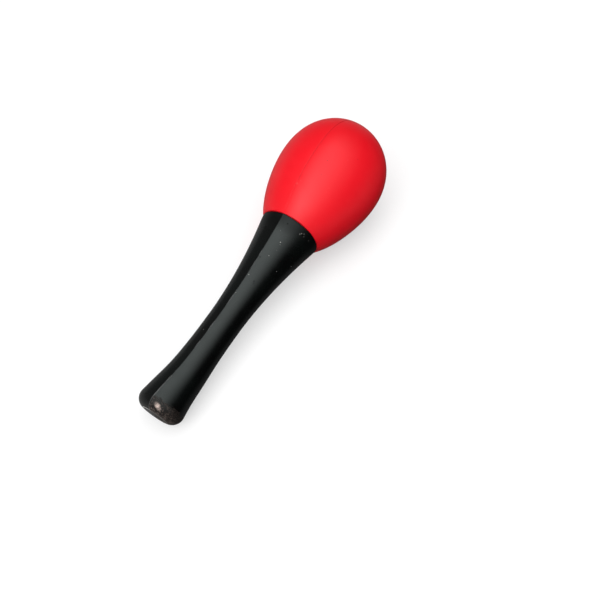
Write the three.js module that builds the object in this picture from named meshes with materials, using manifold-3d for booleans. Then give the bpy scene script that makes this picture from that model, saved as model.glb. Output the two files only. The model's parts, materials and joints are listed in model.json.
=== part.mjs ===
// Egg shaker on a short handle: a hollow egg of two half shells, loose shot inside it, and a
// hollow handle of two half shells whose collar closes round the egg's neck.
// Millimetres, +Z up. The shaker lies on its side on the plane z = 0, touching it with the
// handle's butt and with the egg, and +X runs from the butt to the egg's crown.

import * as THREE from "three";
import { mergeVertices } from "three/addons/utils/BufferGeometryUtils.js";
import Module from "manifold-3d";

const wasm = await Module();
wasm.setup();

// ---- Driving dimensions ----

const HANDLE_LENGTH = 87.3; // butt face to collar rim, along the axis
const BUTT_RADIUS = 9.75; // where the butt's flare would meet its end face if that had no rounding
const WAIST_RADIUS = 6.65;
const COLLAR_RADIUS = 12.7;
const BUTT_CORNER = 4.3; // rounding between the butt's side and its flat end
const BUTT_FLARE_END = 0.42; // share of the handle's length where the butt's flare has died out
const BUTT_FLARE_POWER = 2;
const COLLAR_FLARE_START = 0.47; // share of the handle's length where the collar's flare starts
const COLLAR_FLARE_POWER = 1.85;
const RIM_CHAMFER = 0.4;

const EGG_RADIUS = 22;
const EGG_HALF_LENGTH = 31; // of the whole egg curve, part of which the collar cuts off
const EGG_CENTRE = 111.5; // middle of that curve, from the butt face
const EGG_TAPER = [0.19, 0.06, -0.09]; // how the egg's roundness changes from neck to crown

const WALL = 1.8;
const GAP = 0.3; // between any two pieces
const LIP = 0.75; // thickness of the stepped lip where two half shells meet
const LIP_REACH = 1.2; // how far the left shell's lip crosses the seam
const LIP_MARGIN = 4; // between the lip's ends and the neck or the butt's rounding
const SEAM_TURN = -8.7; // degrees that the seam plane is rolled about the axis from upright

const RIB_TOP = 81.8; // the ring inside the collar that holds the egg's neck
const RIB_THICKNESS = 1.2;
const NECK_RADIUS = 7.4;
const FLANGE_RADIUS = 8.6;
const FLANGE_THICKNESS = 2;
const SPIGOT_TOP_RADIUS = 10.4;
const SPIGOT_FOOT_RADIUS = 9.3;
const NECK_BORE = 5.9;
const NECK_FLOOR = 1.6;

const WEB_STATIONS = [29, 57]; // stiffening walls across the handle
const WEB_THICKNESS = 1.2;
const PIN_STATIONS = [14, 43, 71]; // alignment pins across the handle's seam
const PIN_RADIUS = 1.1;
const PIN_REACH = 3;
const BOSS_RADIUS = 2.5;

const SHOT_RADIUS = 2.25;
const SHOT_COUNT = 27;

const FACETS = 54; // round a full turn, so that a facet's middle lies on the floor
const BAR_FACETS = 20;
const EGG_STEPS = 14;
const HANDLE_STEPS = 12;
const CORNER_STEPS = 4;

const FAR = 200; // farther from the butt's middle than any piece reaches
const WELD = 1e-4; // two points of a mesh nearer than this are one
const TOLERANCE = 1e-7; // of the searches, in millimetres or radians

// ---- Materials ----

const redPlastic = new THREE.MeshStandardMaterial({ color: 0xe01522, roughness: 0.38, metalness: 0 });
const blackPlastic = new THREE.MeshStandardMaterial({ color: 0x121413, roughness: 0.3, metalness: 0 });
const steel = new THREE.MeshStandardMaterial({ color: 0xb4b7ba, roughness: 0.22, metalness: 1 });

// ---- Solids ----

// A three.js geometry as a manifold-3d solid, without the triangles that collapse on the axis.
function solid(geometry) {
  const plain = geometry.index ? geometry.clone() : mergeVertices(geometry);
  plain.deleteAttribute("normal");
  plain.deleteAttribute("uv");
  const merged = mergeVertices(plain, WELD);
  const index = merged.index.array;
  const kept = [];
  for (let i = 0; i < index.length; i += 3) {
    const [a, b, c] = index.slice(i, i + 3);
    if (a !== b && b !== c && c !== a) kept.push(a, b, c);
  }
  return new wasm.Manifold(
    new wasm.Mesh({
      numProp: 3,
      vertProperties: new Float32Array(merged.attributes.position.array),
      triVerts: new Uint32Array(kept),
    }),
  );
}

function geometryOf(manifold) {
  const mesh = manifold.getMesh();
  const geometry = new THREE.BufferGeometry();
  geometry.setAttribute("position", new THREE.BufferAttribute(mesh.vertProperties, 3));
  geometry.setIndex(new THREE.BufferAttribute(mesh.triVerts, 1));
  geometry.computeVertexNormals();
  return geometry;
}

// An outline of [radius, station] points, turned about the local Y axis.
const turned = (outline) =>
  solid(new THREE.LatheGeometry(outline.map(([r, s]) => new THREE.Vector2(r, s)), FACETS));

// The slab between two X values, and between two stations along the axis if they are given.
function slab(fromX, toX, from = -FAR, to = FAR) {
  const box = new THREE.BoxGeometry(toX - fromX, to - from, 2 * FAR);
  box.translate((fromX + toX) / 2, (from + to) / 2, 0);
  return solid(box);
}

// A round bar across the seam, from one X value to another.
function crossBar(radius, fromX, toX, station) {
  const bar = new THREE.CylinderGeometry(radius, radius, toX - fromX, BAR_FACETS);
  bar.rotateZ(Math.PI / 2);
  bar.translate((fromX + toX) / 2, station, 0);
  return solid(bar);
}

const steps = (count, from, to) =>
  Array.from({ length: count + 1 }, (_, i) => from + ((to - from) * i) / count);

// The last value on the way from one end to the other up to which a test holds.
function lastWhere(test, holds, fails) {
  while (Math.abs(fails - holds) > TOLERANCE) {
    const middle = (holds + fails) / 2;
    if (test(middle)) holds = middle;
    else fails = middle;
  }
  return holds;
}

// ---- Outlines, as [radius, station] from the butt face ----

function handleRadius(station) {
  const flareStart = COLLAR_FLARE_START * HANDLE_LENGTH;
  const collar = Math.max(0, (station - flareStart) / (HANDLE_LENGTH - flareStart));
  const butt = Math.max(0, 1 - station / (BUTT_FLARE_END * HANDLE_LENGTH));
  return (
    WAIST_RADIUS +
    (COLLAR_RADIUS - WAIST_RADIUS) * collar ** COLLAR_FLARE_POWER +
    (BUTT_RADIUS - WAIST_RADIUS) * butt ** BUTT_FLARE_POWER
  );
}

// The butt's rounding is an arc from its flat end to where it is in line with the flare.
const buttLean = Math.atan(handleRadius(BUTT_CORNER - 0.5) - handleRadius(BUTT_CORNER + 0.5));
const cornerTop = BUTT_CORNER * (1 + Math.sin(buttLean));
const faceRadius = handleRadius(cornerTop) - BUTT_CORNER * Math.cos(buttLean);

// The handle's side at a depth under its surface, from its flat end up to the rim.
function handleSide(depth) {
  const corner = steps(CORNER_STEPS, 0, Math.PI / 2 + buttLean).map((angle) => [
    faceRadius + (BUTT_CORNER - depth) * Math.sin(angle),
    BUTT_CORNER - (BUTT_CORNER - depth) * Math.cos(angle),
  ]);
  const stations = steps(HANDLE_STEPS, cornerTop, HANDLE_LENGTH).slice(1);
  return [...corner, ...stations.map((s) => [handleRadius(s) - depth, s])];
}

const handleOutline = [
  [0, 0],
  ...handleSide(0).slice(0, -1),
  [handleRadius(HANDLE_LENGTH - RIM_CHAMFER), HANDLE_LENGTH - RIM_CHAMFER],
  [COLLAR_RADIUS - RIM_CHAMFER, HANDLE_LENGTH],
  ...handleSide(WALL).reverse(),
  [0, WALL],
];

function eggShape(angle) {
  const t = Math.sin(angle);
  const [a, b, c] = EGG_TAPER;
  return Math.cos(angle) * (1 + a * t + b * t ** 2 + c * t ** 3);
}

const EGG_SAMPLES = 2000;
const widest = Math.max(...steps(EGG_SAMPLES, 0, Math.PI / 2).map(eggShape));

const eggPoint = (angle) => [
  (EGG_RADIUS * eggShape(angle)) / widest,
  EGG_CENTRE + EGG_HALF_LENGTH * Math.sin(angle),
];

// The egg's wall at a depth under its surface. The angle is 90 degrees at the crown.
function eggInside(angle, depth) {
  const nudge = 1e-4;
  const [r, s] = eggPoint(angle);
  const [before, after] = [eggPoint(angle - nudge), eggPoint(angle + nudge)];
  const along = new THREE.Vector2(after[0] - before[0], after[1] - before[1]).normalize();
  return [r - depth * along.y, s + depth * along.x];
}

const shoulder = HANDLE_LENGTH + GAP; // where the egg's visible surface starts
const rimAngle = Math.asin((shoulder - EGG_CENTRE) / EGG_HALF_LENGTH);

// The wall at a depth, from the shoulder to the crown on the axis.
const eggSide = (depth) => [
  ...steps(EGG_STEPS, rimAngle, Math.PI / 2)
    .slice(0, -1)
    .map((angle) => eggInside(angle, depth)),
  [0, EGG_CENTRE + EGG_HALF_LENGTH - depth],
];

const ribFoot = RIB_TOP - RIB_THICKNESS;
const flangeTop = ribFoot - GAP;
const neckFoot = flangeTop - FLANGE_THICKNESS;

const chamberOutline = [
  [0, neckFoot + NECK_FLOOR],
  [NECK_BORE, neckFoot + NECK_FLOOR],
  [NECK_BORE, RIB_TOP + GAP],
  [SPIGOT_TOP_RADIUS - WALL, shoulder],
  ...eggSide(WALL),
];

const eggOutline = [
  [0, neckFoot],
  [FLANGE_RADIUS, neckFoot],
  [FLANGE_RADIUS, flangeTop],
  [NECK_RADIUS, flangeTop],
  [NECK_RADIUS, RIB_TOP + GAP],
  [SPIGOT_FOOT_RADIUS, RIB_TOP + GAP],
  [SPIGOT_TOP_RADIUS, shoulder],
  ...eggSide(0),
];

// ---- Half shells ----

const leftHalf = slab(-FAR, -GAP / 2);
const rightHalf = slab(GAP / 2, FAR);

// The layer between two depths under a side's surface.
const layer = (side, outer, inner) =>
  turned([...side(outer), ...side(inner).reverse(), side(outer)[0]]);

// Splits a turned shell at the seam. The left half carries a lip along its inner side, which
// reaches past the seam into a step cut in the right half, from one station to another.
function halves(shell, side, from, to) {
  const lip = layer(side, WALL - LIP, WALL).intersect(slab(-GAP, LIP_REACH, from, to));
  const room = slab(-GAP, LIP_REACH + GAP, from - GAP, to + GAP);
  const step = layer(side, WALL - LIP - GAP, WALL + GAP).intersect(room);
  return {
    left: shell.intersect(leftHalf).add(lip),
    right: shell.intersect(rightHalf).subtract(step),
  };
}

function eggHalves() {
  const shell = turned(eggOutline).subtract(turned(chamberOutline));
  return halves(shell, eggSide, shoulder + LIP_MARGIN, FAR);
}

// A flat disc or ring across the handle, between two radii.
const disc = (inner, outer, from, to) =>
  inner > 0
    ? turned([[inner, from], [outer, from], [outer, to], [inner, to], [inner, from]])
    : turned([[0, from], [outer, from], [outer, to], [0, to]]);

function handleHalves() {
  let shell = turned(handleOutline);
  shell = shell.add(disc(NECK_RADIUS + GAP, handleRadius(ribFoot) - WALL / 2, ribFoot, RIB_TOP));
  for (const station of WEB_STATIONS) {
    shell = shell.add(disc(0, handleRadius(station) - WALL / 2, station, station + WEB_THICKNESS));
  }
  const made = halves(shell, handleSide, cornerTop + LIP_MARGIN, ribFoot - LIP_MARGIN);
  const core = turned([[0, WALL / 2], ...handleSide(WALL / 2), [0, HANDLE_LENGTH]]);
  const bossSlab = { left: leftHalf, right: slab(LIP_REACH + 2 * GAP, FAR) };
  for (const station of PIN_STATIONS) {
    const boss = crossBar(BOSS_RADIUS, -COLLAR_RADIUS, COLLAR_RADIUS, station).intersect(core);
    const pin = crossBar(PIN_RADIUS, -COLLAR_RADIUS / 2, PIN_REACH, station);
    const socket = crossBar(PIN_RADIUS + GAP, -GAP, PIN_REACH + GAP, station);
    made.left = made.left.add(boss.intersect(bossSlab.left)).add(pin.intersect(core));
    made.right = made.right.add(boss.intersect(bossSlab.right)).subtract(socket);
  }
  return made;
}

// ---- How the shaker lies ----

// How far an outline's lowest point is below the middle of the butt's end, under a tilt.
// A facet's middle lies on the floor, so a radius counts as its facet's apothem.
const apothem = Math.cos(Math.PI / FACETS);
const drop = (outline, tilt) =>
  Math.max(...outline.map(([r, s]) => r * apothem * Math.cos(tilt) - s * Math.sin(tilt)));

// The tilt, in radians, at which the egg and the butt are both on the floor.
const STEEPEST = 0.4;
const eggIsLower = (tilt) => drop(handleSide(0), tilt) < drop(eggOutline, tilt);
const tilt = lastWhere(eggIsLower, 0, STEEPEST);
const buttHeight = drop(eggOutline, tilt); // of the axis over the floor, at the butt face
const wholeOutline = [...handleSide(0), ...eggOutline];
const reach = (sign) =>
  sign * Math.max(...wholeOutline.map(([r, s]) => r * Math.sin(tilt) + sign * s * Math.cos(tilt)));
const buttX = -(reach(1) + reach(-1)) / 2; // puts the middle of the shaker's length over x = 0

// ---- Loose shot ----

// How near a point of the assembly is to the chamber's wall.
function wallDistance(x, y, z) {
  const [dx, dz] = [x - buttX, z - buttHeight];
  const station = dx * Math.cos(tilt) + dz * Math.sin(tilt);
  const height = dz * Math.cos(tilt) - dx * Math.sin(tilt);
  const point = new THREE.Vector3(Math.hypot(y, height), station, 0);
  const nearest = new THREE.Vector3();
  const line = new THREE.Line3();
  let distance = Infinity;
  for (let i = 1; i < chamberOutline.length; i++) {
    const [[r0, s0], [r1, s1]] = chamberOutline.slice(i - 1, i + 1);
    line.start.set(r0 * apothem, s0, 0);
    line.end.set(r1 * apothem, s1, 0);
    line.closestPointToPoint(point, true, nearest);
    distance = Math.min(distance, nearest.distanceTo(point));
  }
  return distance;
}

const axisHeight = (x) => buttHeight + (x - buttX) * Math.tan(tilt);

// The height where a ball over (x, y) meets the chamber's wall, going down or up.
function wallHeight(x, y, direction) {
  const start = axisHeight(x);
  const clear = (z) =>
    Math.hypot(y, z - start) < EGG_RADIUS - WALL && wallDistance(x, y, z) > SHOT_RADIUS + GAP;
  return lastWhere(clear, start, start + direction * EGG_RADIUS);
}

const FLOOR_SAMPLES = 200;
const PATCH = 5; // rows and columns of places tried each way from the lowest point

// One close layer of balls round the lowest point of the chamber, nearest places first. The
// lowest point is between three balls.
function shotPlaces() {
  const pitch = 2 * SHOT_RADIUS + GAP;
  const eggX = buttX + EGG_CENTRE * Math.cos(tilt);
  const lowest = steps(FLOOR_SAMPLES, eggX - EGG_RADIUS, eggX + EGG_RADIUS).reduce((best, x) =>
    wallHeight(x, 0, -1) < wallHeight(best, 0, -1) ? x : best,
  );
  const places = [];
  for (let row = -PATCH; row <= PATCH; row++) {
    for (let column = -PATCH; column <= PATCH; column++) {
      const x = pitch * (column + row / 2 + 1 / 2);
      const y = pitch * ((row * Math.sqrt(3)) / 2 + Math.sqrt(3) / 6);
      places.push({ x: x + lowest, y, out: Math.hypot(x, y) });
    }
  }
  places.sort((a, b) => a.out - b.out || a.x - b.x || a.y - b.y);
  return places.slice(0, SHOT_COUNT).map(({ x, y }) => ({
    x,
    y,
    rest: wallHeight(x, y, -1),
    roof: wallHeight(x, y, 1),
  }));
}

// ---- Assembly ----

function named(name, geometry, material) {
  const mesh = new THREE.Mesh(geometry, material);
  mesh.name = name;
  return mesh;
}

const shaker = new THREE.Group();

const lying = new THREE.Group(); // local Y runs up the axis, from the butt face
lying.position.set(buttX, 0, buttHeight);
lying.rotation.set(0, -tilt, -Math.PI / 2);
shaker.add(lying);

const rolled = new THREE.Group(); // local X is the seam plane's normal, left to right
rolled.rotation.y = THREE.MathUtils.degToRad(SEAM_TURN);
lying.add(rolled);

const egg = eggHalves();
rolled.add(named("egg_shell_left", geometryOf(egg.left), redPlastic));
rolled.add(named("egg_shell_right", geometryOf(egg.right), redPlastic));

const handle = handleHalves();
rolled.add(named("handle_shell_left", geometryOf(handle.left), blackPlastic));
rolled.add(named("handle_shell_right", geometryOf(handle.right), blackPlastic));

const ball = new THREE.IcosahedronGeometry(SHOT_RADIUS, 1);
shotPlaces().forEach(({ x, y, rest, roof }, i) => {
  const shot = named("shot_" + String(i + 1).padStart(2, "0"), ball, steel);
  shot.position.set(x, y, rest);
  shot.userData.travel = roof - rest; // how far it can hop before it meets the roof
  shaker.add(shot);
});

export default shaker;
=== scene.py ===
# Looks of the egg shaker: a red plastic egg of two half shells, a black plastic handle of two
# half shells, and loose steel shot inside the egg. Metres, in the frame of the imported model.

import json
import math
import random

import bmesh
import bpy
from mathutils import Matrix, Quaternion, Vector


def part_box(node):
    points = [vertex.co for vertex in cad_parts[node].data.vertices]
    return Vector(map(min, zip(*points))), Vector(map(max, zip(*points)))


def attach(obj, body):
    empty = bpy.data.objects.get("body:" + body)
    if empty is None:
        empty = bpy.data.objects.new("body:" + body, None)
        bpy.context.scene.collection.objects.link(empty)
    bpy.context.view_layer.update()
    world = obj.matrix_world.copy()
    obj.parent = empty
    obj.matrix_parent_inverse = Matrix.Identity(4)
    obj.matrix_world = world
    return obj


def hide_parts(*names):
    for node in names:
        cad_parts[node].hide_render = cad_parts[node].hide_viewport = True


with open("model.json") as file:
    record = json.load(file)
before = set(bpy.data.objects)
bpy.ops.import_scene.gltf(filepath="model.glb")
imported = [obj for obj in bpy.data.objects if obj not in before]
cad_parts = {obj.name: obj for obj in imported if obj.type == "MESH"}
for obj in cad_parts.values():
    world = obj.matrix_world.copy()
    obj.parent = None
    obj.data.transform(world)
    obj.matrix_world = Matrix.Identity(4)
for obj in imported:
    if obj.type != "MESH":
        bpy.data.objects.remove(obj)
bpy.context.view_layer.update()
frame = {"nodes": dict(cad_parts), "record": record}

MM = 0.001

# ---- Sizes of the shaker, as the CAD has them ----

HANDLE_LENGTH = 87.3 * MM
BUTT_RADIUS = 9.75 * MM
WAIST_RADIUS = 6.65 * MM
COLLAR_RADIUS = 12.7 * MM
BUTT_CORNER = 4.3 * MM
BUTT_FLARE_END = 0.42
BUTT_FLARE_POWER = 2
COLLAR_FLARE_START = 0.47
COLLAR_FLARE_POWER = 1.85

EGG_RADIUS = 22 * MM
EGG_HALF_LENGTH = 31 * MM
EGG_CENTRE = 111.5 * MM
EGG_TAPER = (0.19, 0.06, -0.09)

WALL = 1.8 * MM
GAP = 0.3 * MM
RING_TOP = 81.8 * MM
RING_THICKNESS = 1.2 * MM
NECK_RADIUS = 7.4 * MM
FLANGE_RADIUS = 8.6 * MM
FLANGE_THICKNESS = 2 * MM
SPIGOT_TOP_RADIUS = 10.4 * MM
SPIGOT_FOOT_RADIUS = 9.3 * MM
NECK_BORE = 5.9 * MM
NECK_FLOOR = 1.6 * MM
WEB_STATIONS = (29 * MM, 57 * MM)
WEB_THICKNESS = 1.2 * MM
SEAM_TURN = -8.7  # degrees that the seam is rolled about the axis from upright
MOUNT_OFFSET = 2.4 * MM  # from the axis to the butt_face mount, across the seam
SHOT_RADIUS = 2.25 * MM
CAD_FACETS = 54  # a facet's middle lies on the floor, so a round skin is this much slimmer
SKIN_SCALE = math.cos(math.pi / CAD_FACETS)

# ---- Fine shape that only the looks have ----

SEAM_HALF_GAP = 0.012 * MM
EGG_SEAM_ROUND = 0.05 * MM
HANDLE_SEAM_ROUND = 0.08 * MM
LIP_RUN = 3.6 * MM  # the collar's lip is a quarter of an ellipse, this long and this deep
LIP_DEPTH = 0.26 * MM
DRAFT_ANGLE = 11  # degrees that the handle's sides fall away from the parting line
DRAFT_SPREAD = 1.25  # radians round the handle over which that dies out
SHOULDER_CLEARANCE = 0.1 * MM  # from the rim to the egg's outside, where the CAD leaves a GAP
BUTT_SWAY = 0.66 * MM  # how far the butt is moulded off the axis, to the left
SWAY_RUN = 15 * MM

# ---- How finely the skins are cut: rings along the axis, columns round a half ----

EGG_RINGS = 190
EGG_COLUMNS = 110
CHAMBER_RINGS = EGG_RINGS // 3
CHAMBER_COLUMNS = 40
NECK_STEP = 1 * MM
CHAMBER_NECK_STEP = 2 * MM
WIDEST_SAMPLES = 2000
FACE_STEP = 0.5 * MM
CORNER_RINGS = 20
SIDE_RINGS = 150
LIP_RINGS = 16
INSIDE_RINGS = 40
HANDLE_COLUMNS = 90
CAVITY_CORNER_RINGS = 8
CAVITY_RINGS = 24
CAVITY_COLUMNS = 30
EDGE_STEPS = 5  # of the rounding along the seam
HARD_EDGE = math.radians(38)
SAME_PLACE = 8  # decimals of a metre to which two vertices are one


# ---- Where the shaker lies ----

butt_face = next(m for m in frame["record"]["mounts"] if m["name"] == "butt_face")
axis = -Vector(butt_face["axis"]).normalized()
upright = (Vector((0, 0, 1)) - axis * axis.z).normalized()
sideways = axis.cross(upright)
seam_turn = math.radians(SEAM_TURN)
seam_up = upright * math.cos(seam_turn) + sideways * math.sin(seam_turn)
seam_normal = sideways * math.cos(seam_turn) - upright * math.sin(seam_turn)
butt_centre = Vector(butt_face["pos_m"]) - seam_normal * MOUNT_OFFSET


def lying(across, station, height):
    """A point across the seam, along the axis from the butt and up in the seam's plane."""
    sway = BUTT_SWAY * math.exp(-((station / SWAY_RUN) ** 4))
    on_axis = butt_centre + axis * station - sideways * sway
    return on_axis + seam_normal * across + seam_up * height


# ---- Outlines, as (radius, station) ----


def steps(count, start, end):
    return [start + (end - start) * i / count for i in range(count + 1)]


def handle_radius(station):
    flare_start = COLLAR_FLARE_START * HANDLE_LENGTH
    collar = max(0, (station - flare_start) / (HANDLE_LENGTH - flare_start))
    butt = max(0, 1 - station / (BUTT_FLARE_END * HANDLE_LENGTH))
    return (
        WAIST_RADIUS
        + (COLLAR_RADIUS - WAIST_RADIUS) * collar**COLLAR_FLARE_POWER
        + (BUTT_RADIUS - WAIST_RADIUS) * butt**BUTT_FLARE_POWER
    )


# The butt's rounding is an arc from its flat end to where it is in line with the flare.
lean_run = 1 * MM
butt_fall = handle_radius(BUTT_CORNER - lean_run / 2) - handle_radius(BUTT_CORNER + lean_run / 2)
butt_lean = math.atan(butt_fall / lean_run)
corner_top = BUTT_CORNER * (1 + math.sin(butt_lean))
face_radius = handle_radius(corner_top) - BUTT_CORNER * math.cos(butt_lean)


def egg_shape(angle):
    t = math.sin(angle)
    a, b, c = EGG_TAPER
    return math.cos(angle) * (1 + a * t + b * t**2 + c * t**3)


widest = max(egg_shape(angle) for angle in steps(WIDEST_SAMPLES, 0, math.pi / 2))


NUDGE = 1e-4  # radians


def egg_point(angle, depth=0.0):
    """The egg's outline, or its wall at a depth. The angle is a right angle at the crown."""

    def surface(at):
        return Vector(
            (EGG_RADIUS * egg_shape(at) / widest, EGG_CENTRE + EGG_HALF_LENGTH * math.sin(at))
        )

    along = (surface(angle + NUDGE) - surface(angle - NUDGE)).normalized()
    r, s = surface(angle)
    return (r - depth * along.y, s + depth * along.x)


def arc(radius, count):
    """The butt's rounding, or its wall with a smaller radius, from the flat end to the side."""
    return [
        (face_radius + radius * math.cos(a), BUTT_CORNER + radius * math.sin(a))
        for a in steps(count, -math.pi / 2, butt_lean)
    ]


def straight(points, longest):
    """The same outline with its long straight stretches cut into steps."""
    cut = [points[0]]
    for (r0, s0), (r1, s1) in zip(points, points[1:]):
        count = max(1, math.ceil(math.hypot(r1 - r0, s1 - s0) / longest))
        for i in range(1, count + 1):
            cut.append((r0 + (r1 - r0) * i / count, s0 + (s1 - s0) * i / count))
    return cut


shoulder = HANDLE_LENGTH + SHOULDER_CLEARANCE
neck_top = RING_TOP + GAP
ring_foot = RING_TOP - RING_THICKNESS
flange_top = ring_foot - GAP
neck_foot = flange_top - FLANGE_THICKNESS
rim_angle = math.asin((shoulder - EGG_CENTRE) / EGG_HALF_LENGTH)


def egg_skin():
    """From the floor of the neck over the spigot and the egg to the crown."""
    neck = [
        (0, neck_foot),
        (FLANGE_RADIUS, neck_foot),
        (FLANGE_RADIUS, flange_top),
        (NECK_RADIUS, flange_top),
        (NECK_RADIUS, neck_top),
        (SPIGOT_FOOT_RADIUS, neck_top),
        (SPIGOT_TOP_RADIUS, shoulder),
    ]
    egg = [egg_point(a) for a in steps(EGG_RINGS, rim_angle, math.pi / 2)]
    return straight(neck, NECK_STEP) + egg


def egg_chamber():
    neck = [
        (0, neck_foot + NECK_FLOOR),
        (NECK_BORE, neck_foot + NECK_FLOOR),
        (NECK_BORE, neck_top),
        (SPIGOT_TOP_RADIUS - WALL, shoulder),
    ]
    egg = [egg_point(a, WALL) for a in steps(CHAMBER_RINGS, rim_angle, math.pi / 2)]
    return straight(neck, CHAMBER_NECK_STEP) + egg


def handle_skin():
    """From the middle of the butt's face over the outside and the rim to the top of a web."""
    face = straight([(0, 0), (face_radius, 0)], FACE_STEP)
    corner = arc(BUTT_CORNER, CORNER_RINGS)
    lip_foot = HANDLE_LENGTH - LIP_RUN
    side = [(handle_radius(s), s) for s in steps(SIDE_RINGS, corner_top, lip_foot)]
    lip = []
    for angle in steps(LIP_RINGS, 0, math.pi / 2):
        station = lip_foot + LIP_RUN * math.sin(angle)
        lip.append((handle_radius(station) - LIP_DEPTH * (1 - math.cos(angle)), station))
    web_top = WEB_STATIONS[1] + WEB_THICKNESS
    inside = [(handle_radius(s) - WALL, s) for s in steps(INSIDE_RINGS, web_top, HANDLE_LENGTH)]
    over_ring = [p for p in reversed(inside) if p[1] > RING_TOP]
    under_ring = [p for p in reversed(inside) if p[1] < ring_foot]
    ring = [
        (handle_radius(RING_TOP) - WALL, RING_TOP),
        (NECK_RADIUS + GAP, RING_TOP),
        (NECK_RADIUS + GAP, ring_foot),
        (handle_radius(ring_foot) - WALL, ring_foot),
    ]
    web = [(0, web_top)]
    return face + corner[1:] + side[1:] + lip[1:] + over_ring + ring + under_ring + web


def handle_cavity(start, end):
    side = [(handle_radius(s) - WALL, s) for s in steps(CAVITY_RINGS, start, end)]
    return [(0, start)] + side + [(0, end)]


def butt_cavity(end):
    corner = arc(BUTT_CORNER - WALL, CAVITY_CORNER_RINGS)
    return [(0, WALL)] + corner + handle_cavity(corner_top, end)[2:]


# ---- Half shells ----


def outline_normals(outline):
    """The unit normal at each point of an outline, to the right of the way it runs."""
    normals = []
    for i in range(len(outline)):
        before = Vector(outline[max(0, i - 1)])
        after = Vector(outline[min(len(outline) - 1, i + 1)])
        along = (after - before).normalized()
        normals.append((along.y, -along.x))
    return normals


def draft(turn):
    """The share of the radius that the handle loses at an angle round from the parting line."""
    turn = min(turn, math.pi - turn)
    if turn <= 0 or turn >= DRAFT_SPREAD:
        return 0.0
    return math.tan(math.radians(DRAFT_ANGLE)) * turn * (1 - turn / DRAFT_SPREAD) ** 2


class HalfShell:
    """Half of a turned shell, cut at the seam. Each outline runs from the axis to the axis."""

    def __init__(self, hand):
        self.hand = hand  # 1 for the half that the seam's normal points to, -1 for the other
        self.mesh = bmesh.new()
        self.made = {}

    def vertex(self, across, station, height):
        key = tuple(round(value, SAME_PLACE) for value in (across, station, height))
        if key not in self.made:
            self.made[key] = self.mesh.verts.new((self.hand * across, station, height))
        return self.made[key]

    def skin(self, outline, columns, edge_round=0.0, shape=None, outside=True):
        cut = SEAM_HALF_GAP
        row_length = columns + 1 + (2 * EDGE_STEPS if edge_round else 0)
        rows = []
        for (r, s), (nr, ns) in zip(outline, outline_normals(outline)):
            if r <= cut:
                rows.append([self.vertex(cut, s, 0)] * row_length)
                continue
            edge = []
            if edge_round:
                for a in steps(EDGE_STEPS, 0, math.pi / 2)[:-1]:
                    depth = edge_round * (1 - math.sin(a))
                    reach = max(cut, r - depth * nr)
                    across = min(cut + edge_round * (1 - math.cos(a)), reach)
                    edge.append((across, s - depth * ns, math.sqrt(reach**2 - across**2)))
            row = [self.vertex(*p) for p in edge]
            start = math.asin(min(1, (cut + edge_round) / r))
            for turn in steps(columns, start, math.pi - start):
                radius = r * (1 - shape(turn)) if shape else r
                row.append(self.vertex(radius * math.sin(turn), s, radius * math.cos(turn)))
            row += [self.vertex(a, s, -h) for a, s, h in reversed(edge)]
            rows.append(row)
        flip = outside == (self.hand > 0)
        for low, high in zip(rows, rows[1:]):
            for a, b, c, d in zip(low, low[1:], high[1:], high):
                corners = list(dict.fromkeys((a, b, c, d)))
                if len(corners) > 2:
                    if flip:
                        corners.reverse()
                    if not self.mesh.faces.get(corners):
                        self.mesh.faces.new(corners)

    def closed(self):
        """Fills the flat cut at the seam."""
        mesh = self.mesh
        border = [e for e in mesh.edges if e.is_boundary]
        bmesh.ops.triangle_fill(mesh, edges=border, normal=(-self.hand, 0, 0))
        bmesh.ops.recalc_face_normals(mesh, faces=mesh.faces)
        return mesh


def piece_from(mesh, name, material, body, replaced):
    """A shown piece from a bmesh in the shaker's own axes, which it keeps for its material."""
    data = bpy.data.meshes.new(name)
    mesh.to_mesh(data)
    mesh.free()
    place = data.attributes.new("place", "FLOAT_VECTOR", "POINT")
    place.data.foreach_set("vector", [x for v in data.vertices for x in v.co])
    for v in data.vertices:
        v.co = lying(*v.co)
    data.shade_smooth()
    data.set_sharp_from_angle(angle=HARD_EDGE)
    data.materials.append(material)
    piece = bpy.data.objects.new(name, data)
    bpy.context.scene.collection.objects.link(piece)
    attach(piece, body)
    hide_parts(replaced)
    return piece


def slimmed(outline):
    return [(r * SKIN_SCALE, s) for r, s in outline]


def egg_half(side, hand, material):
    shell = HalfShell(hand)
    shell.skin(slimmed(egg_skin()), EGG_COLUMNS, EGG_SEAM_ROUND)
    shell.skin(egg_chamber(), CHAMBER_COLUMNS, outside=False)
    name = "egg_half_" + side
    replaced = "egg_shell_" + side
    return piece_from(shell.closed(), name, material, "shaker", replaced)


def handle_half(side, hand, material):
    shell = HalfShell(hand)
    shell.skin(slimmed(handle_skin()), HANDLE_COLUMNS, HANDLE_SEAM_ROUND, draft)
    first, second = WEB_STATIONS
    shell.skin(butt_cavity(first), CAVITY_COLUMNS, outside=False)
    shell.skin(handle_cavity(first + WEB_THICKNESS, second), CAVITY_COLUMNS, outside=False)
    name = "handle_half_" + side
    replaced = "handle_shell_" + side
    return piece_from(shell.closed(), name, material, "shaker", replaced)


# ---- Materials ----


EVEN = 0.5  # roughness of a plain noise


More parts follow.
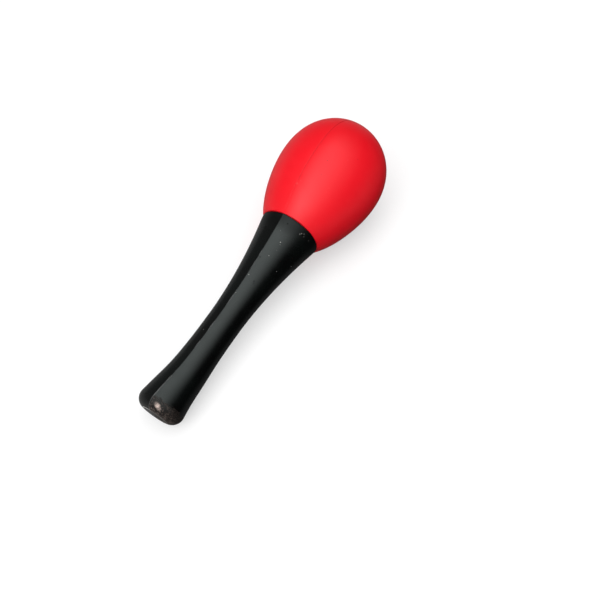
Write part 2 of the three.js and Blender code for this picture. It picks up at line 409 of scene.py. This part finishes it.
class Graph:
    """Short calls to build a node tree. A link or a plain value is given to each input."""

    def __init__(self, tree):
        self.tree = tree
        tree.nodes.clear()

    def add(self, kind, inputs=(), **settings):
        node = self.tree.nodes.new(kind)
        for name, value in settings.items():
            setattr(node, name, value)
        for name, value in dict(inputs).items():
            if isinstance(value, bpy.types.NodeSocket):
                self.tree.links.new(value, node.inputs[name])
            else:
                node.inputs[name].default_value = value
        return node

    def math(self, operation, *values):
        return self.add("ShaderNodeMath", enumerate(values), operation=operation).outputs[0]

    def times(self, *values):
        product = values[0]
        for value in values[1:]:
            product = self.math("MULTIPLY", product, value)
        return product

    def distance(self, here, there):
        node = self.add("ShaderNodeVectorMath", {0: here, 1: there}, operation="DISTANCE")
        return node.outputs["Value"]

    def smooth(self, value, low, high, start=0.0, end=1.0):
        """From start to end as the value goes from low to high."""
        limits = {"From Min": low, "From Max": high, "To Min": start, "To Max": end}
        inputs = {"Value": value, **limits}
        return self.add("ShaderNodeMapRange", inputs, interpolation_type="SMOOTHSTEP").outputs[0]

    def noise(self, place, scale, detail, roughness=EVEN):
        inputs = {"Vector": place, "Scale": scale, "Detail": detail, "Roughness": roughness}
        return self.add("ShaderNodeTexNoise", inputs).outputs[0]

    def pattern(self, place, pattern, start=0.0, end=1.0):
        """From start to end by a noise, given as the patterns below."""
        scale, detail, roughness, low, high = pattern
        return self.smooth(self.noise(place, scale, detail, roughness), low, high, start, end)

    def mix(self, share, a, b):
        """A colour between a and b."""
        node = self.add("ShaderNodeMix", data_type="RGBA")
        for index, value in ((0, share), (6, a), (7, b)):
            if isinstance(value, bpy.types.NodeSocket):
                self.tree.links.new(value, node.inputs[index])
            else:
                node.inputs[index].default_value = value
        return node.outputs[2]

    def bump(self, height, distance, strength, normal=None):
        inputs = {"Height": height, "Distance": distance, "Strength": strength}
        if normal:
            inputs["Normal"] = normal
        return self.add("ShaderNodeBump", inputs).outputs[0]

    def rough_skin(self, place, grain, normal=None):
        """A bump by a noise, given as the grains below."""
        scale, detail, depth, strength = grain
        return self.bump(self.noise(place, scale, detail), depth, strength, normal)


WHITE = (1.0, 1.0, 1.0, 1)


def new_material(name):
    material = bpy.data.materials.new(name)
    material.use_nodes = True
    return material, Graph(material.node_tree)


def shaded(graph, **inputs):
    """A material's shader, with its inputs, on its output."""
    names = {key.replace("_", " "): value for key, value in inputs.items()}
    shader = graph.add("ShaderNodeBsdfPrincipled", names)
    graph.add("ShaderNodeOutputMaterial", {"Surface": shader.outputs[0]})
    return shader


def on_handle(station, turn):
    """The place on the handle's surface at a station and an angle round from the seam."""
    low = max(0, BUTT_CORNER - station)
    if station < corner_top:
        radius = face_radius + math.sqrt(BUTT_CORNER**2 - low**2)
    else:
        radius = handle_radius(station) * (1 - draft(abs(turn)))
    return (radius * math.sin(turn), station, radius * math.cos(turn))


def on_egg(station, turn):
    radius = egg_point(math.asin((station - EGG_CENTRE) / EGG_HALF_LENGTH))[0]
    return (radius * math.sin(turn), station, radius * math.cos(turn))


MARK_CORE = 0.3  # of a mark's radius, inside which it has its whole share


def spots(g, place, surface, marks):
    """The share of a round mark at each point. A mark's share fades to nothing at its rim."""
    cover = 0.0
    for station, turn, radius, share in marks:
        away = g.distance(place, surface(station * MM, math.radians(turn)))
        mark = g.smooth(away, MARK_CORE * radius * MM, radius * MM, share, 0)
        cover = g.math("MAXIMUM", cover, mark)
    return cover


# Marks as (station in mm, degrees round from the seam, radius in mm, share).
EGG_SCUFFS = ((98.2, 1, 0.7, 0.14), (99.6, 3, 0.4, 0.08))
EGG_SPECKS = (
    (111, 17, 0.4, 0.5),
    (105, 20, 0.35, 0.45),
    (119, 41, 0.3, 0.4),
    (101, -24, 0.3, 0.3),
)
DUST = (
    (77.3, 25, 0.28, 0.50),
    (76.5, 27, 0.20, 0.20),
    (70.7, 21, 0.28, 0.22),
    (60.6, 5, 0.36, 0.20),
    (73.7, 84, 0.26, 0.20),
    (67.9, 60, 0.25, 0.22),
    (74.0, 29, 0.26, 0.07),
    (81.0, 12, 0.26, 0.08),
    (52.2, 3, 0.26, 0.16),
    (34.3, -17, 0.28, 0.16),
    (84.2, 46, 0.34, 0.20),
    (84.8, 48, 0.34, 0.26),
    (85.3, 52, 0.30, 0.20),
    (84.6, 55, 0.26, 0.09),
    (84.9, 68, 0.26, 0.09),
)
PITS = (
    (59.5, 28, 0.45, 0.7),
    (58.8, 31, 0.40, 0.6),
    (68.5, 5, 0.45, 0.6),
    (84.6, 16, 0.50, 0.7),
    (84.8, 51, 0.90, 1.0),
)
# A painted highlight: the glint on the butt's worn corner, as marks.
BUTT_PAINTED_GLINT = ((2.5, 16, 1.1, 0.25), (2.1, 21, 1.3, 0.85), (1.6, 27, 1.2, 0.35))

PLASTIC_IOR = 1.5

# Noise patterns are (scale per metre, detail, roughness, value where it starts, and where it is
# full). Grains are (scale per metre, detail, depth, strength).

# ---- Red plastic ----

RED = (0.82, 0.0044, 0.0135, 1)
RED_CLOUD = (0.80, 0.0040, 0.0125, 1)
RED_DEEP = (0.35, 0.004, 0.008, 1)
# The dark red of the painted shade in the parting groove.
RED_GROOVE_SHADE = (0.3, 0.003, 0.006, 1)
RED_SCUFFED = (0.95, 0.22, 0.22, 1)
RED_CLOUDS = (70, 3, EVEN, 0.35, 0.65)
RED_RUBS = (420, 4, 0.6, 0.66, 0.74)
RED_SCUFF_BREAKS = (1500, 3, EVEN, 0.4, 0.6)
RED_PATCHES = (260, 3, EVEN, 0.3, 0.7)
RED_GRAIN = (2600, 2, 0.02 * MM, 0.35)
RED_WAVES = (190, 2, 0.2 * MM, 0.12)
RED_SHEEN = 0.35  # specular level
RED_SATIN = (0.36, 0.42)  # roughness, from and to
RUB_SHARE = 0.06
RUB_ROUGHNESS = 0.08
GROOVE_ROUGHNESS = 0.62
GROOVE_EDGE = (0.1 * MM, 0.34 * MM)  # across the seam, from full to none
GROOVE_START = (92 * MM, 102 * MM)
GROOVE_CROWN = (118 * MM, 134 * MM)
GROOVE_PAINTED_SHADE = (0.18, 0.36)  # painted shade in the groove, its share below the crown and on it


def groove(g, across, station):
    """The share of the parting groove, which is lost by the collar."""
    line = g.smooth(g.math("ABSOLUTE", across), *GROOVE_EDGE, 1, 0)
    return g.times(line, g.smooth(station, *GROOVE_START))


def red_plastic():
    material, g = new_material("egg_red_plastic")
    place = g.add("ShaderNodeAttribute", attribute_name="place").outputs["Vector"]
    across, station, _ = g.add("ShaderNodeSeparateXYZ", {0: place}).outputs

    colour = g.mix(g.pattern(place, RED_CLOUDS), RED, RED_CLOUD)
    seam = groove(g, across, station)
    # Painted shade: the parting groove is darkened, more on the crown.
    painted_groove_shade = g.times(seam, g.smooth(station, *GROOVE_CROWN, *GROOVE_PAINTED_SHADE))
    colour = g.mix(painted_groove_shade, colour, RED_GROOVE_SHADE)
    rub = g.pattern(place, RED_RUBS)
    scuff = g.times(spots(g, place, on_egg, EGG_SCUFFS), g.pattern(place, RED_SCUFF_BREAKS))
    pale = g.math("MAXIMUM", g.times(rub, RUB_SHARE), scuff)
    colour = g.mix(pale, colour, RED_SCUFFED)
    colour = g.mix(spots(g, place, on_egg, EGG_SPECKS), colour, RED_DEEP)

    satin = g.pattern(place, RED_PATCHES, *RED_SATIN)
    rough = g.math("ADD", satin, g.times(rub, RUB_ROUGHNESS))
    rough = g.smooth(seam, 0, 1, rough, GROOVE_ROUGHNESS)
    waves = g.rough_skin(place, RED_WAVES, g.rough_skin(place, RED_GRAIN))
    shaded(
        g,
        Base_Color=colour,
        Roughness=rough,
        Normal=waves,
        IOR=PLASTIC_IOR,
        Specular_IOR_Level=RED_SHEEN,
    )
    return material


# ---- Black plastic ----

BLACK = (0.0015, 0.0015, 0.0015, 1)
BLACK_CLOUD = (0.0017, 0.0024, 0.0022, 1)
BLACK_PAINTED_LAMP_TINT = (0.90, 1.0, 0.98, 1)  # of its gloss: the lamp's greenish colour, painted into its reflection
# The grey of flash and of the painted highlight along the parting line.
FLASH_AND_HIGHLIGHT_GREY = (0.14, 0.14, 0.14, 1)
SCUFF_DARK = (0.006, 0.004, 0.0036, 1)
SCUFF_BROWN = (0.15, 0.115, 0.10, 1)
# The pale pink of the painted highlight on the butt's corner.
PAINTED_GLINT_PINK = (0.80, 0.62, 0.55, 1)
# The pale grey of dust, and of the painted highlight on the butt's rim.
DUST_AND_HIGHLIGHT_GREY = (0.62, 0.61, 0.57, 1)
BLACK_CLOUDS = (90, 3, EVEN, 0.35, 0.65)
BLACK_PATCHES = (300, 4, EVEN, 0.3, 0.7)
BLACK_GRAIN = (2200, 3, 0.02 * MM, 0.4)
MOTTLE = (2300, 4, 0.65, 0.48, 0.64)
MOTTLE_BUMP = (0.04 * MM, 0.8)  # depth and strength
GLOSSY = (0.20, 0.27)  # roughness, from and to
WORN_ROUGHNESS = 0.5
RIM_ROUGHNESS = 0.16  # added by the collar's rim
RIM_DULL = (78 * MM, 86 * MM)
SHEEN = 0.5  # specular level
DULL_SHEEN = 0.3
PIT_SHEEN = 0.06
FLASH_EDGE = (0.10 * MM, 0.28 * MM)  # across the seam, from full to none
FLASH_BY_BUTT = (6 * MM, 14 * MM)
FLASH_STRETCHES = (130, 3, EVEN, 0.48, 0.62)
STRETCH_SHARE = 0.6
FLASH_SHARE = 0.6
WEAR_EDGE = (5.2 * MM, 6.4 * MM)
WEAR_RAGGED = 2.6 * MM
WEAR_RAGGED_NOISE = (700, 3)  # scale per metre and detail
WEAR_PALE = (0.2 * MM, 3.0 * MM)  # from the end, from most brown to least
WEAR_PALE_SHARES = (1, 0.3)
PAINTED_GLINT_SHARES = (0.6, 1)  # of the painted highlight, on the dark mottle and on the brown
WEAR_SPLIT = 0.05 * MM
WEAR_LEFT = 0.1  # the share on the left half
RIM_LINE_OUT = 0.35 * MM  # of the worn rim of the butt's end, outside the flat, partly a painted highlight
RIM_LINE_EDGE = (0.1 * MM, 0.45 * MM)
RIM_LINE_DEPTH = (0.3 * MM, 0.8 * MM)
RIM_HIGHLIGHT_HEIGHT = (-3.5 * MM, 0.5 * MM)
RIM_LINE_BREAKS = (900, 3, EVEN, 0.35, 0.6)
RIM_LINE_BREAK_SHARE = 0.3
RIM_LINE_SPLIT = 0.3 * MM
RIM_LINE_SHARES = (0.75, 0.34)  # on the left half and on the right


def butt_wear(g, place, across, station):
    """The share of scuffed plastic round the butt's end, most of it on the right half."""
    edge = g.math("MULTIPLY_ADD", g.noise(place, *WEAR_RAGGED_NOISE), WEAR_RAGGED, station)
    side = g.smooth(across, -WEAR_SPLIT, WEAR_SPLIT, WEAR_LEFT, 1)
    return g.times(g.smooth(edge, *WEAR_EDGE, 1, 0), side)


def butt_rim_wear_and_highlight(g, place, across, station, height):
    """The share of pale on the rim of the butt's flat end, by its upper side: partly rubbed
    plastic, partly a painted highlight where the rim catches light.
    """
    out = g.math("SQRT", g.math("ADD", g.math("POWER", across, 2), g.math("POWER", height, 2)))
    away = g.math("ABSOLUTE", g.math("SUBTRACT", out, face_radius + RIM_LINE_OUT))
    return g.times(
        g.smooth(away, *RIM_LINE_EDGE, 1, 0),
        g.smooth(station, *RIM_LINE_DEPTH, 1, 0),
        g.smooth(height, *RIM_HIGHLIGHT_HEIGHT),
        g.pattern(place, RIM_LINE_BREAKS, RIM_LINE_BREAK_SHARE, 1),
        g.smooth(across, 0, RIM_LINE_SPLIT, *RIM_LINE_SHARES),
    )


def flash_and_highlight_line(g, place, across, station):
    """The share of pale on the parting line, in stretches, and all along it by the butt: partly
    flash, partly a painted highlight on the seam's edge.
    """
    line = g.smooth(g.math("ABSOLUTE", across), *FLASH_EDGE, 1, 0)
    stretches = g.pattern(place, FLASH_STRETCHES, 0, STRETCH_SHARE)
    by_butt = g.smooth(station, *FLASH_BY_BUTT, 1, 0)
    return g.times(line, g.math("MAXIMUM", stretches, by_butt), FLASH_SHARE)


def black_plastic():
    material, g = new_material("handle_black_plastic")
    place = g.add("ShaderNodeAttribute", attribute_name="place").outputs["Vector"]
    across, station, height = g.add("ShaderNodeSeparateXYZ", {0: place}).outputs

    colour = g.mix(g.pattern(place, BLACK_CLOUDS), BLACK, BLACK_CLOUD)
    # Pale parting line: flash, and a painted highlight along the seam's edge.
    colour = g.mix(flash_and_highlight_line(g, place, across, station), colour, FLASH_AND_HIGHLIGHT_GREY)
    wear = butt_wear(g, place, across, station)
    mottle = g.pattern(place, MOTTLE)
    near_end = g.smooth(station, *WEAR_PALE, *WEAR_PALE_SHARES)
    scuffed = g.mix(g.times(mottle, near_end), SCUFF_DARK, SCUFF_BROWN)
    colour = g.mix(wear, colour, scuffed)
    # Painted highlight: a pale pink glint on the worn corner of the butt.
    painted_glint = spots(g, place, on_handle, BUTT_PAINTED_GLINT)
    painted_glint = g.times(painted_glint, g.smooth(mottle, 0, 1, *PAINTED_GLINT_SHARES))
    colour = g.mix(painted_glint, colour, PAINTED_GLINT_PINK)
    # Dust, and the butt's rim, partly rubbed pale and partly a painted highlight on its upper
    # side.
    rim = butt_rim_wear_and_highlight(g, place, across, station, height)
    pale = g.math("MAXIMUM", spots(g, place, on_handle, DUST), rim)
    colour = g.mix(pale, colour, DUST_AND_HIGHLIGHT_GREY)

    dull = g.smooth(station, *RIM_DULL)
    gloss_rough = g.pattern(place, BLACK_PATCHES, *GLOSSY)
    rough = g.math("MULTIPLY_ADD", dull, RIM_ROUGHNESS, gloss_rough)
    matt = g.math("MAXIMUM", g.math("MAXIMUM", wear, painted_glint), pale)
    rough = g.smooth(matt, 0, 1, rough, WORN_ROUGHNESS)
    sheen = g.smooth(g.math("MAXIMUM", dull, wear), 0, 1, SHEEN, DULL_SHEEN)
    sheen = g.smooth(spots(g, place, on_handle, PITS), 0, 1, sheen, PIT_SHEEN)
    grain = g.rough_skin(place, BLACK_GRAIN)
    rubbed = g.bump(g.times(mottle, wear), *MOTTLE_BUMP, grain)
    shaded(
        g,
        Base_Color=colour,
        Roughness=rough,
        Normal=rubbed,
        IOR=PLASTIC_IOR,
        Specular_IOR_Level=sheen,
        Specular_Tint=BLACK_PAINTED_LAMP_TINT,
    )
    return material


# ---- Steel ----

STEEL_DARK = (0.50, 0.51, 0.52, 1)
STEEL_PALE = (0.62, 0.62, 0.61, 1)
STEEL_POLISH = (0.14, 0.30)  # roughness, from and to
STEEL_PATCHES = (900, 4, EVEN, 0.3, 0.7)
STEEL_CLOUDS = (500, 3)  # scale per metre and detail
STEEL_SCRATCH = (3000, 3, 0.01 * MM, 0.3)


def polished_steel():
    material, g = new_material("shot_steel")
    place = g.add("ShaderNodeTexCoord").outputs["Object"]
    rough = g.pattern(place, STEEL_PATCHES, *STEEL_POLISH)
    colour = g.mix(g.noise(place, *STEEL_CLOUDS), STEEL_DARK, STEEL_PALE)
    scratch = g.rough_skin(place, STEEL_SCRATCH)
    shaded(g, Base_Color=colour, Metallic=1.0, Roughness=rough, Normal=scratch)
    return material


# ---- Steel shot ----

SHOT_SEED = 27
BALL_CUTS = 9
BELT_WIDTH = 0.12  # as a share of the radius
BELT_HEIGHT = 0.02 * MM  # the faint band that a ball keeps from its forming dies


def shot_ball(node, material, chance):
    """A forged ball: a round body with a faint belt, turned any way."""
    low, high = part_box(node)
    mesh = bmesh.new()
    bmesh.ops.create_cube(mesh, size=2)
    bmesh.ops.subdivide_edges(mesh, edges=mesh.edges, cuts=BALL_CUTS, use_grid_fill=True)
    turn = Quaternion([chance.gauss(0, 1) for _ in range(4)]).normalized()
    for v in mesh.verts:
        way = v.co.normalized()
        belt = math.exp(-((way.z / BELT_WIDTH) ** 2))
        v.co = (low + high) / 2 + turn @ way * (SHOT_RADIUS - BELT_HEIGHT * (1 - belt))
    name = node.replace("shot", "steel_ball")
    data = bpy.data.meshes.new(name)
    mesh.to_mesh(data)
    mesh.free()
    data.shade_smooth()
    data.materials.append(material)
    ball = bpy.data.objects.new(name, data)
    bpy.context.scene.collection.objects.link(ball)
    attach(ball, node.replace("shot", "ball"))
    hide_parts(node)


# ---- Studio ----

FLOOR_SIDE = 6.0
FLOOR_TONE = 0.5  # to the camera, along with its glow
FLOOR_PAINTED_GLOW = 0.48  # to the camera only: a painted light that lifts the floor and its shadow
FLOOR_LIT_TONE = 0.80  # as it lights the shaker
FLOOR_PAINTED_SHADOW_TONE = 0.05  # the same, in a strip on the right: a painted shadow
STRIP_RIGHT = (-110 * MM, -90 * MM)
STRIP_LEFT = (-14 * MM, -6 * MM)
FLOOR_LEFT_GLOSS = 0.22  # as it shows in the gloss
# Painted dark reflection: the floor's gloss on the shaker's right.
FLOOR_RIGHT_PAINTED_DARK_GLOSS = (0.01, 0.08)
RIGHT_GLOSS_SPAN = (-45 * MM, -18 * MM)
GLOSS_SPLIT = 4 * MM


def floor():
    """A pale floor. It shows dimmer in the plastic's gloss than to the camera, most of all on the
    shaker's right, where its gloss is a painted dark reflection, and a strip there, a painted
    shadow, gives less light. To the camera it glows, a painted light that lifts its shade."""
    material, g = new_material("floor_white")
    rays = g.add("ShaderNodeLightPath").outputs
    place = g.add("ShaderNodeNewGeometry").outputs["Position"]
    y = g.add("ShaderNodeSeparateXYZ", {0: place}).outputs[1]
    # On the right, the gloss is a painted dark reflection.
    right_painted_dark_gloss = g.smooth(y, *RIGHT_GLOSS_SPAN, *FLOOR_RIGHT_PAINTED_DARK_GLOSS)
    mirrored = g.smooth(y, -GLOSS_SPLIT, GLOSS_SPLIT, right_painted_dark_gloss, FLOOR_LEFT_GLOSS)
    # A painted shadow: a strip on the right that gives less light.
    strip = g.times(g.smooth(y, *STRIP_RIGHT), g.smooth(y, *STRIP_LEFT, 1, 0))
    lit = g.smooth(strip, 0, 1, FLOOR_LIT_TONE, FLOOR_PAINTED_SHADOW_TONE)
    hidden = g.smooth(rays["Is Glossy Ray"], 0, 1, lit, mirrored)
    tone = g.smooth(rays["Is Camera Ray"], 0, 1, hidden, FLOOR_TONE)
    colour = g.add("ShaderNodeCombineColor", {0: tone, 1: tone, 2: tone}).outputs[0]
    shader = g.add("ShaderNodeBsdfDiffuse", {"Color": colour})
    # Painted light: the floor glows to the camera, lifting it and its shadow.
    lift = g.times(rays["Is Camera Ray"], FLOOR_PAINTED_GLOW)
    painted_glow = g.add("ShaderNodeEmission", {"Color": WHITE, "Strength": lift})
    both = g.add("ShaderNodeAddShader", {0: shader.outputs[0], 1: painted_glow.outputs[0]})
    g.add("ShaderNodeOutputMaterial", {"Surface": both.outputs[0]})
    mesh = bmesh.new()
    bmesh.ops.create_grid(mesh, x_segments=1, y_segments=1, size=FLOOR_SIDE / 2)
    data = bpy.data.meshes.new("floor")
    mesh.to_mesh(data)
    mesh.free()
    data.materials.append(material)
    plane = bpy.data.objects.new("floor", data)
    bpy.context.scene.collection.objects.link(plane)


# The soft box, in degrees from overhead towards +Y (across) and +X (along).
BOX_RIGHT_EDGE = (-61, 8)
BOX_LEFT_EDGE = (20, 28)
BOX_FAR_EDGE = (10, 60)
BOX_NEAR_EDGE = (-75, -50)
BOX_NEAR_SPAN = (-45, 0)
BOX_NEAR_BOOST = 1.9
BOX_STRENGTH = 1.9
ROOM_SPAN = (-60, 60)
ROOM_STRENGTH = (0.01, 0.12)
BACKGROUND = 1.0  # to the camera
FILL_STRENGTH = 1.2
FILL_SPREAD = 125  # degrees
FILL_FROM = Vector((-0.5, -0.1, 0.86))


def studio_light():
    """One wide soft box overhead, sharp on the left edge and soft on the right, and a soft fill
    that doesn't show in the gloss."""
    world = bpy.data.worlds.new("studio")
    bpy.context.scene.world = world
    world.use_nodes = True
    g = Graph(world.node_tree)
    way = g.add("ShaderNodeTexCoord").outputs["Generated"]
    x, y, z = g.add("ShaderNodeSeparateXYZ", {0: way}).outputs
    along = g.math("DEGREES", g.math("ARCTAN2", x, z))
    across = g.math("DEGREES", g.math("ARCTAN2", y, z))
    box = g.times(
        g.smooth(across, *BOX_RIGHT_EDGE),
        g.smooth(across, *BOX_LEFT_EDGE, 1, 0),
        g.smooth(along, *BOX_FAR_EDGE, 1, 0),
        g.smooth(along, *BOX_NEAR_EDGE),
        g.smooth(along, *BOX_NEAR_SPAN, BOX_NEAR_BOOST, 1),
    )
    room = g.smooth(across, *ROOM_SPAN, *ROOM_STRENGTH)
    light = g.math("MULTIPLY_ADD", box, BOX_STRENGTH, room)
    background = g.times(g.add("ShaderNodeLightPath").outputs["Is Camera Ray"], BACKGROUND)
    strength = g.math("MAXIMUM", light, background)
    shader = g.add("ShaderNodeBackground", {"Color": WHITE, "Strength": strength})
    g.add("ShaderNodeOutputWorld", {"Surface": shader.outputs[0]})
    sun = bpy.data.lights.new("fill", "SUN")
    sun.energy = FILL_STRENGTH
    sun.angle = math.radians(FILL_SPREAD)
    fill = bpy.data.objects.new("fill", sun)
    fill.rotation_euler = FILL_FROM.to_track_quat("Z", "Y").to_euler()
    fill.visible_glossy = False
    bpy.context.scene.collection.objects.link(fill)


CAMERA_PLACE = Vector((-126.667, -90.239, 247.467)) * MM
CAMERA_AZIMUTH = 30.602  # degrees from +X towards +Y that it looks
CAMERA_DROP = 58.903  # degrees that it looks down
CAMERA_ROLL = 2.068
LENS = 43.2  # mm, on a sensor 36 mm wide
NEAREST = 10 * MM


def photo_camera():
    azimuth, drop = math.radians(CAMERA_AZIMUTH), math.radians(CAMERA_DROP)
    flat = Vector((math.cos(azimuth), math.sin(azimuth), 0))
    forward = flat * math.cos(drop) - Vector((0, 0, math.sin(drop)))
    level = forward.cross(Vector((0, 0, 1))).normalized()
    turn = Matrix.Rotation(-math.radians(CAMERA_ROLL), 3, forward)
    right = turn @ level
    up = right.cross(forward)
    camera = bpy.data.objects.new("camera", bpy.data.cameras.new("camera"))
    camera.data.lens = LENS
    camera.data.clip_start = NEAREST
    rotation = Matrix((right, up, -forward)).transposed()
    camera.matrix_world = Matrix.Translation(CAMERA_PLACE) @ rotation.to_4x4()
    bpy.context.scene.collection.objects.link(camera)
    bpy.context.scene.camera = camera


# ---- The whole scene ----

red = red_plastic()
black = black_plastic()
steel = polished_steel()
for side, hand in (("left", -1), ("right", 1)):
    egg_half(side, hand, red)
    handle_half(side, hand, black)
chance = random.Random(SHOT_SEED)
for node in sorted(n for n in frame["nodes"] if n.startswith("shot_")):
    shot_ball(node, steel, chance)
floor()
studio_light()
photo_camera()
bpy.context.scene.view_settings.view_transform = "Standard"
